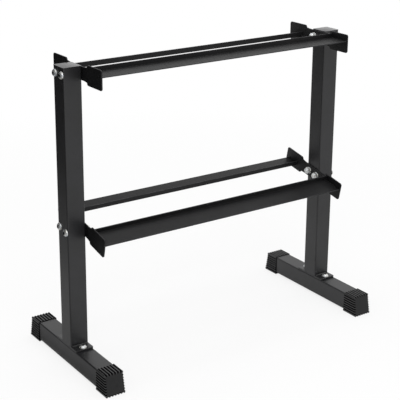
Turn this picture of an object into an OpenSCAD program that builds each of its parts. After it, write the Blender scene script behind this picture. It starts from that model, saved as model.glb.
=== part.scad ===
// Two-tier dumbbell rack.
// Two welded post-and-base frames stand on rubber-booted cross feet and carry a level
// upper shelf and a forward-tilted lower shelf, each a pair of bent rails between end plates.
// Frame: X runs along the shelves, -Y is the front, +Z is up, and the origin lies on the
// floor in the middle of the footprint.

/* [Frame] */
// Distance between the centre lines of the two uprights
upright_spacing = 843; // [700:1:1000]
// Outer size of the uprights' square tube
post_size = 52; // [48:1:56]
// Outer size of the feet's square tube
foot_size = 52; // [46:1:54]
// Wall thickness of both tubes
tube_wall = 2; // [1.5:0.1:2.5]
// Outer corner radius of both tubes
tube_corner_r = 3.5; // [3:0.1:4.5]
// Length of an upright tube
upright_len = 755; // [700:5:900]
// Length of a foot tube
foot_len = 398; // [350:2:480]

/* [Base plates] */
// Thickness of the plate welded under each upright
base_t = 5; // [3:0.5:8]
// How far the plate stands out in front of and behind the upright
base_tab = 29; // [27:1:40]
// From the upright's face to the middle of a base screw
base_screw_out = 17; // [15:0.5:19]
// Corner radius of the plate
base_corner_r = 4; // [2:0.5:6]
// Leg of the weld bead round the foot of the upright
base_weld_leg = 3.5; // [2.5:0.1:4]

/* [Foot caps] */
// Length of the boot over the tube, at its top
boot_len = 44; // [34:1:50]
// Rubber under the tube
boot_floor = 5.2; // [4:0.1:9]
// Rubber above the tube, to the top of the ribs
boot_roof = 2.1; // [1.9:0.1:5]
// Rubber beside the tube at the top, to the top of the ribs
boot_side = 1.9; // [1.9:0.1:3.5]
// Extra width of each side at the floor
boot_flare = 0.8; // [0.5:0.1:3]
// How far the end face leans out at the floor
boot_lean = 10; // [4:0.5:14]
// Rubber in front of the tube's end
boot_end = 4.5; // [3:0.5:7]
// Corner radius of the boot's section
boot_corner_r = 3; // [2:0.1:3.5]
// Depth of the grooves between the ribs
groove_d = 1; // [0.6:0.1:1.2]
// Width of a groove
groove_w = 3.2; // [1.5:0.1:3.4]
// Grooves across the roof and across the floor
roof_grooves = 6; // [3:1:6]
// Distance from groove to groove there
roof_pitch = 8.7; // [7:0.1:9]
// Grooves across each side
side_grooves = 7; // [4:1:7]
// Distance from groove to groove there
side_pitch = 7.2; // [6:0.1:8]

/* [End plates] */
// Thickness of an end plate
plate_t = 3; // [2:0.5:4]
// Height of the web that is bolted to the upright
web_h = 35.5; // [30:0.5:40]
// Height of the ears that hold the rails
ear_h = 52; // [46:1:60]
// Width of an ear
ear_w = 73; // [68:1:80]
// Straight length of web between the upright and the step
web_clear = 11.5; // [8:0.5:20]
// Width of the slanted step from web to ear
step_w = 14; // [8:1:20]
// Corner radius of the ears
ear_corner_r = 6; // [3:0.5:8]

/* [Rails] */
// Thickness of the rail sheet
rail_t = 2.5; // [2:0.1:3.5]
// Width of the front rail's flange, over the bend
front_flange_w = 65; // [55:1:68]
// Width of the rear rail's flange, over the bend
rear_flange_w = 50; // [42:1:64]
// Height of a rail's lip, over the bend
rail_lip_h = 15; // [10:0.5:18]
// Outer radius of a rail's bend
rail_bend_r = 3.5; // [2.6:0.1:5]
// From an ear's outer edge to the rail's free edge
rail_inset = 2; // [1:0.5:4]
// Underside of the front rail above the plate's centre line
front_rail_rise = 6; // [2:0.5:10]
// Underside of the rear rail below the plate's centre line
rear_rail_drop = 12; // [6:0.5:16]
// Leg of the weld beads at a rail's ends
rail_weld_leg = 3; // [2:0.1:3.5]
// Length of those beads
rail_weld_len = 24; // [16:1:30]

/* [Shelves] */
// From the top of the upright tubes down to the upper shelf's centre line
upper_drop = 17.2; // [17.2:0.5:40.2]
// Height of the lower shelf's centre line
lower_z = 388; // [250:1:480]
// Forward tilt of the lower shelf, in degrees
lower_tilt = 12; // [0:0.5:20]

/* [Post caps] */
// Thickness of the cap on an upright
post_cap_t = 2.5; // [2:0.1:4]
// How far the cap stands out past the tube
post_cap_lip = 0.5; // [0:0.1:1]
// Depth of the plug inside the tube
post_plug_d = 8; // [5:1:12]
// Wall of the plug
post_plug_wall = 2.2; // [1.5:0.1:3]

/* [Screws] */
// Diameter of the screws
screw_d = 10; // [8:0.5:10.5]
// Diameter of the holes for them
hole_d = 11; // [10.8:0.1:11.6]
// Distance between the two screws of an end plate
shelf_screw_spacing = 34; // [28:1:36]
// Diameter of the button heads
head_d = 18; // [16:0.5:19]
// Height of the button heads
head_h = 5.5; // [4.8:0.1:7]
// Width of the hexagon socket in a head, across flats
socket_af = 6; // [5:0.5:7]
// Depth of the hexagon socket
socket_d = 3.6; // [2.4:0.1:4]
// Outer diameter of the washers
washer_d = 20; // [19:0.5:21]
// Thickness of the washers
washer_t = 2; // [1:0.1:3]
// Width of the nuts across flats
nut_af = 17; // [16:0.1:18]
// Height of the shelf screws' lock nuts
lock_nut_h = 10; // [9:0.5:12]
// Height of the nuts welded inside the feet
weld_nut_h = 8; // [6:0.5:10]
// Length of thread that stands out past a nut
thread_out = 2.5; // [1:0.5:5]

/* [Hidden] */

steel = "#2b2b2d";
rubber = "#1d1d1f";
plastic = "#3a3a3d";
zinc = "#c9ccd0";

slip = 0.15;             // gap between a boot or plug and its tube
thread_slip = 0.05;      // radial gap between a screw and its nut
eps = 1;                 // overshoot of a cutting shape

foot_z = boot_floor;                         // underside of the foot tubes
foot_top = foot_z + foot_size;
post_z = foot_top + base_t;                  // foot of the upright tubes
post_top = post_z + upright_len;
upper_z = post_top - upper_drop;
post_x = upright_spacing / 2;
plate_x = post_x - post_size / 2 - plate_t;  // inner faces of the end plates
ear_in = post_size / 2 + web_clear + step_w; // inner edge of an ear
ear_out = ear_in + ear_w;                    // outer edge of an ear
base_len = post_size + 2 * base_tab;
boot_h = boot_floor + foot_size + boot_roof;
boot_top_w = foot_size + 2 * boot_side;
boot_foot_w = boot_top_w + 2 * boot_flare;
boot_y = foot_len / 2 + boot_end;            // top edge of a boot's end face
base_screw_y = post_size / 2 + base_screw_out;

// A square section with round corners, centred on the origin.
module round_square(w, h, r) {
    square([w - 2 * r, h], center = true);
    square([w, h - 2 * r], center = true);
    for (x = [-1, 1], y = [-1, 1])
        translate([x * (w / 2 - r), y * (h / 2 - r)]) circle(r, $fn = 48);
}

// A square tube, standing up from the floor plane.
module tube(size, length) {
    inner = size - 2 * tube_wall;
    linear_extrude(length) difference() {
        round_square(size, size, tube_corner_r);
        round_square(inner, inner, tube_corner_r - tube_wall);
    }
}

// A quarter disc in the corner of two faces, the section of every weld bead.
module bead_section(leg) {
    intersection() {
        circle(leg, $fn = 32);
        square(leg + eps);
    }
}

// Puts its child at the left upright for side -1 and at the right one for side 1.
module at_side(side) {
    translate([side * post_x, 0, 0]) children();
}

// Puts its child in the frame of the upper shelf, where the plates' centre line is the X axis.
module at_upper() {
    translate([0, 0, upper_z]) children();
}

// The same for the lower shelf, whose frame tilts forward.
module at_lower() {
    translate([0, 0, lower_z]) rotate([lower_tilt, 0, 0]) children();
}

// ---- feet ----

module foot_tube(side) {
    color(steel) at_side(side) difference() {
        translate([0, foot_len / 2, foot_z + foot_size / 2]) rotate([90, 0, 0]) tube(foot_size, foot_len);
        for (y = [-base_screw_y, base_screw_y])
            translate([0, y, foot_top - tube_wall - eps])
                cylinder(d = hole_d, h = tube_wall + 2 * eps, $fn = 48);
    }
}

// The outline of a boot across its tube: wider at the floor, with round corners.
module boot_section() {
    r = boot_corner_r;
    hull() for (s = [-1, 1]) {
        translate([s * (boot_foot_w / 2 - r), r]) circle(r, $fn = 32);
        translate([s * (boot_top_w / 2 - r), boot_h - r]) circle(r, $fn = 32);
    }
}

// Grooves that run along the boot, side by side across one face.
module grooves(count, pitch, length) {
    for (i = [0:count - 1])
        translate([(i - (count - 1) / 2) * pitch - groove_w / 2, -length, -groove_d])
            cube([groove_w, 2 * length, groove_d + eps]);
}

// A boot in its place at the front end of a foot.
module boot_body() {
    reach = boot_y + boot_lean + eps;
    socket = foot_size + 2 * slip;
    side_lean = atan(boot_flare / boot_h);
    difference() {
        translate([0, boot_len - boot_y, 0]) rotate([90, 0, 0])
            linear_extrude(reach - boot_y + boot_len) boot_section();
        // the leaning end face
        translate([0, -boot_y, boot_h]) rotate([-atan(boot_lean / boot_h), 0, 0])
            translate([-boot_foot_w, -2 * reach, -2 * boot_h]) cube([2 * boot_foot_w, 2 * reach, 3 * boot_h]);
        // the socket, whose floor and end bear on the tube
        translate([0, -foot_len / 2, foot_z + foot_size / 2 + slip]) rotate([-90, 0, 0])
            linear_extrude(reach) round_square(socket, socket, tube_corner_r + slip);
        // grooves in the roof and in the floor
        translate([0, 0, boot_h]) grooves(roof_grooves, roof_pitch, reach);
        rotate([0, 180, 0]) grooves(roof_grooves, roof_pitch, reach);
        // grooves in both sides
        for (s = [-1, 1])
            translate([s * (boot_top_w / 2 + boot_flare / 2), 0, boot_h / 2])
                rotate([0, s * (90 - side_lean), 0]) grooves(side_grooves, side_pitch, reach);
    }
}

module foot_boot(side, end) {
    color(rubber) at_side(side) rotate([0, 0, end > 0 ? 180 : 0]) boot_body();
}

// ---- base plates and uprights ----

module base_plate(side) {
    color(steel) at_side(side) translate([0, 0, foot_top]) difference() {
        linear_extrude(base_t) round_square(post_size, base_len, base_corner_r);
        for (y = [-base_screw_y, base_screw_y])
            translate([0, y, -eps]) cylinder(d = hole_d, h = base_t + 2 * eps, $fn = 48);
    }
}

// The fillet weld in front of and behind the upright, where the plate stands out.
module base_welds() {
    color(steel) for (side = [-1, 1], turn = [0, 180])
        at_side(side) rotate([0, 0, turn])
            translate([tube_corner_r - post_size / 2, -post_size / 2, post_z])
                rotate([90, 0, 90]) mirror([1, 0, 0])
                    linear_extrude(post_size - 2 * tube_corner_r) bead_section(base_weld_leg);
}

module upright(side) {
    color(steel) difference() {
        at_side(side) translate([0, 0, post_z]) tube(post_size, upright_len);
        at_upper() shelf_holes(side, post_x - post_size / 2 - eps, post_size + 2 * eps);
        at_lower() shelf_holes(side, post_x - post_size / 2 - eps, post_size + 2 * eps);
    }
}

module post_cap(side) {
    plug = post_size - 2 * tube_wall - 2 * slip;
    outer = post_size + 2 * post_cap_lip;
    color(plastic) at_side(side) translate([0, 0, post_top]) {
        linear_extrude(post_cap_t) round_square(outer, outer, tube_corner_r + post_cap_lip);
        translate([0, 0, -post_plug_d]) linear_extrude(post_plug_d) difference() {
            round_square(plug, plug, tube_corner_r - tube_wall);
            square(plug - 2 * post_plug_wall, center = true);
        }
    }
}

// ---- shelves, each in its own frame ----

// Runs its child along X from a start, for the two screws of one end plate.
module at_shelf_screws(side, start) {
    for (y = [-shelf_screw_spacing / 2, shelf_screw_spacing / 2])
        translate([side * start, y, 0]) rotate([0, side * 90, 0]) children();
}

module shelf_holes(side, start, length) {
    at_shelf_screws(side, start) cylinder(d = hole_d, h = length, $fn = 48);
}

// The end plate's outline: a web with a slanted step to an ear at each end.
module plate_outline() {
    foot = ear_in - step_w;
    tip = ear_in + 2;
    web = web_h / 2;
    shoulder = ear_h / 2 - ear_corner_r;
    polygon([[-tip, -shoulder], [-ear_in, 0.5 - shoulder], [-foot, -web], [foot, -web], [ear_in, 0.5 - shoulder],
             [tip, -shoulder], [tip, shoulder], [ear_in, shoulder - 0.5], [foot, web], [-foot, web],
             [-ear_in, shoulder - 0.5], [-tip, shoulder]]);
    for (s = [-1, 1])
        translate([s * (ear_in + ear_out) / 2, 0]) round_square(ear_w, ear_h, ear_corner_r);
}

module end_plate(side) {
    difference() {
        translate([side > 0 ? plate_x : -plate_x - plate_t, 0, 0]) rotate([90, 0, 90])
            linear_extrude(plate_t) plate_outline();
        shelf_holes(side, plate_x - eps, plate_t + 2 * eps);
    }
}

// An angle with its flange towards negative Y from the lip, its underside at z = 0.
module rail(flange_w, edge) {
    lip_y = flange_w - edge;
    translate([-plate_x, 0, 0]) rotate([90, 0, 90]) linear_extrude(2 * plate_x) difference() {
        union() {
            translate([-edge, 0]) square([flange_w - rail_bend_r, rail_t]);
            translate([lip_y - rail_t, rail_bend_r]) square([rail_t, rail_lip_h - rail_bend_r]);
            intersection() {
                translate([lip_y - rail_bend_r, rail_bend_r]) circle(rail_bend_r, $fn = 48);
                translate([lip_y - rail_bend_r, 0]) square(rail_bend_r);
            }
        }
        translate([lip_y - rail_bend_r, rail_bend_r]) circle(rail_bend_r - rail_t, $fn = 48);
    }
}

module front_rail() {
    translate([0, 0, front_rail_rise]) rail(front_flange_w, ear_out - rail_inset);
}

module rear_rail() {
    translate([0, 0, -rear_rail_drop]) mirror([0, 1, 0]) rail(rear_flange_w, ear_out - rail_inset);
}

// Short beads under both ends of both rails.
module rail_welds() {
    beads = [[-1, front_rail_rise, front_flange_w], [1, -rear_rail_drop, rear_flange_w]];
    for (side = [-1, 1], b = beads)
        translate([side * plate_x, b[0] * (ear_out - rail_inset - b[2] / 2) + rail_weld_len / 2, b[1]])
            rotate([90, 0, 0]) mirror([side > 0 ? 1 : 0, 0, 0]) mirror([0, 1, 0])
                linear_extrude(rail_weld_len) bead_section(rail_weld_leg);
}

// ---- fasteners ----

// A button-head screw: its head stands on z = 0, its shank hangs below.
module button_screw(shank) {
    crown_r = (head_d * head_d / 4 + head_h * head_h) / (2 * head_h);
    difference() {
        union() {
            intersection() {
                cylinder(d = head_d, h = head_h, $fn = 64);
                translate([0, 0, head_h - crown_r]) sphere(crown_r, $fn = 96);
            }
            translate([0, 0, -shank]) cylinder(d = screw_d, h = shank + 0.01, $fn = 48);
        }
        translate([0, 0, head_h - socket_d]) cylinder(d = socket_af / cos(30), h = socket_d + eps, $fn = 6);
    }
}

module washer() {
    difference() {
        cylinder(d = washer_d, h = washer_t, $fn = 64);
        translate([0, 0, -eps]) cylinder(d = screw_d + 0.4, h = washer_t + 2 * eps, $fn = 48);
    }
}

// A hexagon nut that stands on z = 0, with a round collar of a given share of its height.
module nut(height, collar) {
    body_h = height * (1 - collar);
    difference() {
        union() {
            cylinder(d = nut_af / cos(30), h = body_h, $fn = 6);
            cylinder(d = nut_af - 1, h = height, $fn = 64);
        }
        translate([0, 0, -eps]) cylinder(r = screw_d / 2 + thread_slip, h = height + 2 * eps, $fn = 48);
    }
}

shelf_shank = washer_t + post_size + plate_t + washer_t + lock_nut_h + thread_out;
base_shank = washer_t + base_t + tube_wall + weld_nut_h + thread_out;
head_x = post_x + post_size / 2;             // outer faces of the uprights

module shelf_screws() {
    color(zinc) for (side = [-1, 1])
        at_shelf_screws(side, head_x + washer_t) button_screw(shelf_shank);
}

module head_washers() {
    color(zinc) for (side = [-1, 1]) at_shelf_screws(side, head_x) washer();
}

module nut_washers() {
    color(zinc) for (side = [-1, 1]) at_shelf_screws(side, plate_x - washer_t) washer();
}

module lock_nuts() {
    color(zinc) for (side = [-1, 1])
        at_shelf_screws(side, plate_x - washer_t) mirror([0, 0, 1]) nut(lock_nut_h, 0.25);
}

// Puts its child at the four base screws, at a given height.
module at_base_screws(height) {
    for (side = [-1, 1], y = [-base_screw_y, base_screw_y])
        at_side(side) translate([0, y, height]) children();
}

module base_screws() {
    color(zinc) at_base_screws(post_z + washer_t) button_screw(base_shank);
}

module base_washers() {
    color(zinc) at_base_screws(post_z) washer();
}

module foot_weld_nuts() {
    color(zinc) at_base_screws(foot_top - tube_wall) mirror([0, 0, 1]) nut(weld_nut_h, 0);
}

foot_tube(-1);  // left_foot_tube
foot_tube(1);  // right_foot_tube
foot_boot(-1, -1);  // left_front_foot_boot
foot_boot(-1, 1);  // left_rear_foot_boot
foot_boot(1, -1);  // right_front_foot_boot
foot_boot(1, 1);  // right_rear_foot_boot
base_plate(-1);  // left_base_plate
base_plate(1);  // right_base_plate
base_welds();
upright(-1);  // left_upright
upright(1);  // right_upright
post_cap(-1);  // left_post_cap
post_cap(1);  // right_post_cap
color(steel) at_upper() end_plate(-1);  // upper_left_end_plate
color(steel) at_upper() end_plate(1);  // upper_right_end_plate
color(steel) at_lower() end_plate(-1);  // lower_left_end_plate
color(steel) at_lower() end_plate(1);  // lower_right_end_plate
color(steel) at_upper() front_rail();  // upper_front_rail
color(steel) at_upper() rear_rail();  // upper_rear_rail
color(steel) at_lower() front_rail();  // lower_front_rail
color(steel) at_lower() rear_rail();  // lower_rear_rail
color(steel) at_upper() rail_welds();  // upper_rail_welds
color(steel) at_lower() rail_welds();  // lower_rail_welds
at_upper() shelf_screws();  // upper_shelf_screws
at_lower() shelf_screws();  // lower_shelf_screws
at_upper() head_washers();  // upper_head_washers
at_lower() head_washers();  // lower_head_washers
at_upper() nut_washers();  // upper_nut_washers
at_lower() nut_washers();  // lower_nut_washers
at_upper() lock_nuts();  // upper_lock_nuts
at_lower() lock_nuts();  // lower_lock_nuts
base_screws();
base_washers();
foot_weld_nuts();
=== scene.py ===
# Two-tier dumbbell rack: finishes, rubber boots, fasteners, welds and a pale studio
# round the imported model.
import math

import bmesh
import bpy
from mathutils import Matrix, Vector


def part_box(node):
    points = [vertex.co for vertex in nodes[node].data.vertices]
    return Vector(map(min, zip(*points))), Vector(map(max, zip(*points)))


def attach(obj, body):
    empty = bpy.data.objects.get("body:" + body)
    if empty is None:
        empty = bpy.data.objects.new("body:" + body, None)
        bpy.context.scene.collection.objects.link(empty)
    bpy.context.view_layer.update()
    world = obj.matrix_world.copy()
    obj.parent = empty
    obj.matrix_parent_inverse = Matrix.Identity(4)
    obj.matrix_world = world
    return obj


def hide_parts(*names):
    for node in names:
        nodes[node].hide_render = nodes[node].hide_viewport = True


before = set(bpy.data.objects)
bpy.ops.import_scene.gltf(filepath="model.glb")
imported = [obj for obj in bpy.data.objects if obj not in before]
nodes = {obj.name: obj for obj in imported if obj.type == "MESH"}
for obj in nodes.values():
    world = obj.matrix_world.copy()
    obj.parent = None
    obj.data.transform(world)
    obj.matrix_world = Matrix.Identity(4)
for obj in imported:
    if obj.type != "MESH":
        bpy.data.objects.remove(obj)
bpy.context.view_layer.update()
scene = bpy.context.scene
mm = 0.001
print("model loaded:", len(nodes), "nodes")


# small helpers

def toLinear(hexColour):
    # an sRGB hex colour as linear RGBA
    parts = [int(hexColour[i:i + 2], 16) / 255 for i in (1, 3, 5)]
    return [c / 12.92 if c <= 0.04045 else ((c + 0.055) / 1.055) ** 2.4 for c in parts] + [1.0]


def perMm(size):
    # the scale that gives a pattern features of this many millimetres
    return 1000.0 / size


def addNode(tree, kind, inputs=(), out=0, **settings):
    # inputs are plain values or sockets to link, in order or by name;
    # gives back the output asked for, or the node itself
    node = tree.nodes.new(kind)
    for name, value in settings.items():
        setattr(node, name, value)
    for name, value in inputs.items() if isinstance(inputs, dict) else enumerate(inputs):
        if isinstance(value, bpy.types.NodeSocket):
            tree.links.new(value, node.inputs[name])
        else:
            node.inputs[name].default_value = value
    return node if out is None else node.outputs[out]


def newMaterial(name, fixed):
    # fixed holds the shader's own values that are the same all over
    material = bpy.data.materials.new(name)
    material.use_nodes = True
    tree = material.node_tree
    shader = tree.nodes["Principled BSDF"]
    for socket, value in fixed.items():
        shader.inputs[socket].default_value = value
    place = addNode(tree, "ShaderNodeTexCoord", out="Object")
    return material, tree, shader, place


def newPlainMaterial(name):
    # an empty tree for the studio's own surfaces
    material = bpy.data.materials.new(name)
    material.use_nodes = True
    tree = material.node_tree
    tree.nodes.clear()
    place = addNode(tree, "ShaderNodeTexCoord", out="Object")
    return material, tree, place


def wireUp(tree, shader, links):
    for socket, source in links.items():
        tree.links.new(source, shader.inputs[socket])


def newPiece(name, bm):
    mesh = bpy.data.meshes.new(name)
    bm.to_mesh(mesh)
    bm.free()
    piece = bpy.data.objects.new(name, mesh)
    scene.collection.objects.link(piece)
    return piece


def settle(piece):
    # turns the evaluated shape into a plain mesh and takes the modifiers off
    bpy.context.view_layer.update()
    evaluated = piece.evaluated_get(bpy.context.evaluated_depsgraph_get())
    mesh = bpy.data.meshes.new_from_object(evaluated)
    piece.modifiers.clear()
    piece.data = mesh


def smoothPiece(piece, degrees=32):
    piece.data.shade_smooth()
    piece.data.set_sharp_from_angle(angle=math.radians(degrees))
    return piece


def fitPiece(piece, material, slot, *replaced):
    # the last step for every piece: finish, body and the solids that it stands for; the slot is not
    # used
    piece.data.materials.clear()
    piece.data.materials.append(material)
    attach(piece, "root")
    if replaced:
        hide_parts(*replaced)


def solids(nodeName):
    # the low and high corner of each separate solid of a node, left to right and front to back
    bm = bmesh.new()
    bm.from_mesh(nodes[nodeName].data)
    bmesh.ops.remove_doubles(bm, verts=bm.verts, dist=1e-6)
    left, found = set(bm.verts), []
    while left:
        reached, edge = set(), [left.pop()]
        while edge:
            vert = edge.pop()
            reached.add(vert)
            for other in (e.other_vert(vert) for e in vert.link_edges):
                if other in left:
                    left.discard(other)
                    edge.append(other)
        points = [v.co for v in reached]
        found.append((Vector([min(p[i] for p in points) for i in range(3)]),
                      Vector([max(p[i] for p in points) for i in range(3)])))
    bm.free()
    return sorted(found, key=lambda box: (round(box[0].x, 3), box[0].y))


def middle(box):
    return (box[0] + box[1]) / 2


# finishes; the ranges stretch a noise, whose values mostly lie between 0.3 and 0.7

pureWhite = (1.0, 1.0, 1.0, 1.0)
mixColours = {"out": 2, "data_type": "RGBA"}    # a Mix node's settings for two colours


def blend(tree, pattern, low, high, first, second, most=1.0):
    # brings in the second colour as the pattern goes from low to high
    share = addNode(tree, "ShaderNodeMapRange", [pattern, low, high, 0.0, most])
    return addNode(tree, "ShaderNodeMix", {0: share, 6: first, 7: second}, **mixColours)


def makePowderCoat(name, look):
    # satin powder coat: fine orange peel, faint clouding, thin lighter coat along the edges
    material, tree, shader, place = newMaterial(name, look["fixed"])
    cloud, peel, grain, speck = (
        addNode(tree, "ShaderNodeTexNoise", {
            "Vector": place, "Scale": perMm(look[size]), "Detail": detail, "Roughness": roughness})
        for size, detail, roughness in (("cloudMm", 3.0, 0.55), ("peelMm", 2.0, 0.5),
                                        ("grainMm", 1.0, 0.5), ("speckMm", 0.0, 0.5)))
    edge = addNode(tree, "ShaderNodeAttribute", out="Fac", attribute_name="edgeWear")
    patchy = addNode(tree, "ShaderNodeMapRange", [cloud, 0.4, 0.6, 0.35, 1.0])
    worn = addNode(tree, "ShaderNodeMath", [edge, patchy], operation="MULTIPLY")
    colour = blend(tree, cloud, 0.35, 0.65, look["dark"], look["light"])
    colour = blend(tree, speck, 0.66, 0.74, colour, look["speck"], 0.35)
    colour = addNode(tree, "ShaderNodeMix", {0: worn, 6: colour, 7: look["edge"]}, **mixColours)
    rough = addNode(tree, "ShaderNodeMapRange", [
        peel, 0.3, 0.7, look["roughness"] - 0.05, look["roughness"] + 0.05])
    # where the coat is thin it is rubbed a little smoother
    rough = addNode(tree, "ShaderNodeMath", [worn, -0.08, rough], operation="MULTIPLY_ADD")
    normal = addNode(tree, "ShaderNodeBump", {"Height": peel, "Distance": look["peelDepth"] * mm})
    normal = addNode(tree, "ShaderNodeBump", {
        "Height": grain, "Distance": look["grainDepth"] * mm, "Normal": normal})
    wireUp(tree, shader, {"Base Color": colour, "Roughness": rough, "Normal": normal})
    return material


# black coat of posts and feet, softly glossy, so that it takes its greys from the room
charcoalCoat = makePowderCoat("satinBlackPowderCoat", {
    "fixed": {"Metallic": 0.0, "IOR": 1.5, "Specular IOR Level": 0.46},
    "dark": toLinear("#171718"), "light": toLinear("#1c1c1e"), "speck": toLinear("#2c2c2e"),
    "edge": toLinear("#323235"), "roughness": 0.36, "cloudMm": 60, "peelMm": 1.5,
    "peelDepth": 0.035, "grainMm": 0.35, "grainDepth": 0.01, "speckMm": 0.9})

# deeper black coat of end plates and rails, the same spray with less sheen
blackCoat = makePowderCoat("mattBlackPowderCoat", {
    "fixed": {"Metallic": 0.0, "IOR": 1.5, "Specular IOR Level": 0.22},
    "dark": toLinear("#0e0e0f"), "light": toLinear("#131314"), "speck": toLinear("#232325"),
    "edge": toLinear("#4a4a4d"), "roughness": 0.52, "cloudMm": 45, "peelMm": 1.4,
    "peelDepth": 0.03, "grainMm": 0.35, "grainDepth": 0.01, "speckMm": 0.9})

# the coat over weld beads pools in the ripples and is a little glossier
weldCoat = makePowderCoat("blackWeldCoat", {
    "fixed": {"Metallic": 0.0, "IOR": 1.5, "Specular IOR Level": 0.48,
              "Coat Weight": 0.1, "Coat Roughness": 0.2},
    "dark": toLinear("#151516"), "light": toLinear("#1c1c1e"), "speck": toLinear("#2c2c2f"),
    "edge": toLinear("#2c2c2f"), "roughness": 0.32, "cloudMm": 6, "peelMm": 0.8,
    "peelDepth": 0.05, "grainMm": 0.3, "grainDepth": 0.015, "speckMm": 0.7})


def makeBootRubber(look):
    # dull moulded rubber with a fine eroded grain; painted shade makes the grooves, the rim and,
    # more faintly, the end face near black
    material, tree, shader, place = newMaterial("ribbedBootRubber", {"Metallic": 0.0, "IOR": 1.5})
    bloom, grain = (
        addNode(tree, "ShaderNodeTexNoise", {
            "Vector": place, "Scale": perMm(look[size]), "Detail": detail, "Roughness": 0.6})
        for size, detail in (("bloomMm", 4.0), ("grainMm", 2.0)))
    pores = addNode(tree, "ShaderNodeTexVoronoi", {
        "Vector": place, "Scale": perMm(look["poreMm"])})
    groove = addNode(tree, "ShaderNodeAttribute", out="Fac", attribute_name="groove")
    height = addNode(tree, "ShaderNodeSeparateXYZ", [place], out=2)
    lowDown = addNode(tree, "ShaderNodeMapRange", [height, 0.0, look["scuffHeight"], 1.0, 0.0])
    patchy = addNode(tree, "ShaderNodeMapRange", [bloom, 0.45, 0.65, 0.0, 1.0])
    scuff = addNode(tree, "ShaderNodeMath", [lowDown, patchy], operation="MULTIPLY")
    colour = blend(tree, bloom, 0.3, 0.7, look["dark"], look["bloom"])
    dusty = addNode(tree, "ShaderNodeMath", [scuff, look["dustShare"]], operation="MULTIPLY")
    colour = addNode(tree, "ShaderNodeMix", {0: dusty, 6: colour, 7: look["dust"]}, **mixColours)
    # painted shade: the groove mark mixes the colour towards near black
    paintedShade = addNode(tree, "ShaderNodeMath", [groove, look["grooveShare"]], operation="MULTIPLY")
    colour = addNode(tree, "ShaderNodeMix", {0: paintedShade, 6: colour, 7: look["groove"]},
                     **mixColours)
    rough = addNode(tree, "ShaderNodeMapRange", [
        grain, 0.3, 0.7, look["roughness"] - 0.06, look["roughness"] + 0.08])
    rough = addNode(tree, "ShaderNodeMath", [groove, look["grooveRough"], rough],
                    operation="MULTIPLY_ADD")
    # the ribs keep their sheen, and in the grooves the sheen is taken away as painted shade
    sheen = addNode(tree, "ShaderNodeMapRange", [
        groove, 0.0, 1.0, look["ribSheen"], look["grooveSheen"]])
    normal = addNode(tree, "ShaderNodeBump", {"Height": grain, "Distance": look["grainDepth"] * mm})
    normal = addNode(tree, "ShaderNodeBump", {
        "Height": pores, "Distance": look["poreDepth"] * mm, "Normal": normal})
    wireUp(tree, shader, {"Base Color": colour, "Roughness": rough, "Specular IOR Level": sheen,
                          "Normal": normal})
    return material


# the groove colour and the groove sheen are painted shade
bootRubber = makeBootRubber({
    "dark": toLinear("#121213"), "bloom": toLinear("#19191a"), "dust": toLinear("#2b2b2a"),
    "groove": toLinear("#030304"), "roughness": 0.34, "ribSheen": 0.66, "grooveSheen": 0.0,
    "grooveRough": 0.4, "grooveShare": 0.95, "dustShare": 0.35, "scuffHeight": 12 * mm,
    "bloomMm": 14, "grainMm": 0.4, "grainDepth": 0.03, "poreMm": 1.1, "poreDepth": 0.02})


def makeCapPlastic(look):
    # glossy moulded plastic with hairline scuffs, which mirrors the pale studio
    material, tree, shader, place = newMaterial("glossyCapPlastic", {
        "Metallic": 0.0, "IOR": 1.5, "Specular IOR Level": 0.5})
    flow, grain = (
        addNode(tree, "ShaderNodeTexNoise", {
            "Vector": place, "Scale": perMm(look[size]), "Detail": detail, "Roughness": 0.5})
        for size, detail in (("flowMm", 2.0), ("grainMm", 1.0)))
    turned = addNode(tree, "ShaderNodeMapping", {
        "Vector": place, "Rotation": (0.0, 0.0, look["hairTurn"]),
        "Scale": (1.0, look["hairLength"], 1.0)})
    hair = addNode(tree, "ShaderNodeTexNoise", {
        "Vector": turned, "Scale": perMm(look["hairMm"]), "Detail": 3.0, "Roughness": 0.7})
    colour = blend(tree, flow, 0.35, 0.65, look["dark"], look["light"])
    rough = addNode(tree, "ShaderNodeMapRange", [
        hair, 0.5, 0.75, look["roughness"], look["roughness"] + 0.14])
    normal = addNode(tree, "ShaderNodeBump", {"Height": grain, "Distance": look["grainDepth"] * mm})
    wireUp(tree, shader, {"Base Color": colour, "Roughness": rough, "Normal": normal})
    return material


capPlastic = makeCapPlastic({
    "dark": toLinear("#18181a"), "light": toLinear("#1e1e20"), "roughness": 0.2, "flowMm": 22,
    "grainMm": 0.6, "grainDepth": 0.003, "hairMm": 9, "hairTurn": 0.6, "hairLength": 14.0})


def makeZincPlate(look):
    # bright zinc plating: clean metal, faint blue and straw passivation, fine handling marks; the
    # sockets of the screws are rougher and painted dark, partly as dirt and partly as painted shade
    # in the recess
    material, tree, shader, place = newMaterial("brightZincPlate", {"Metallic": 1.0})
    tint, mark = (
        addNode(tree, "ShaderNodeTexNoise", {
            "Vector": place, "Scale": perMm(look[size]), "Detail": detail, "Roughness": roughness})
        for size, detail, roughness in (("tintMm", 2.0, 0.5), ("markMm", 3.0, 0.65)))
    colour = blend(tree, tint, 0.35, 0.65, look["cool"], look["warm"])
    colour = blend(tree, mark, 0.6, 0.75, colour, look["dull"], 0.4)
    recess = addNode(tree, "ShaderNodeAttribute", out="Fac", attribute_name="recess")
    # the socket is painted dark: dirt and painted shade in the recess
    colour = addNode(tree, "ShaderNodeMix", {0: recess, 6: colour, 7: look["recess"]}, **mixColours)
    rough = addNode(tree, "ShaderNodeMapRange", [
        mark, 0.35, 0.7, look["roughness"] - 0.06, look["roughness"] + 0.12])
    rough = addNode(tree, "ShaderNodeMath", [recess, look["recessRough"], rough],
                    operation="MULTIPLY_ADD")
    normal = addNode(tree, "ShaderNodeBump", {"Height": mark, "Distance": look["markDepth"] * mm})
    wireUp(tree, shader, {"Base Color": colour, "Roughness": rough, "Normal": normal})
    return material


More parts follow.
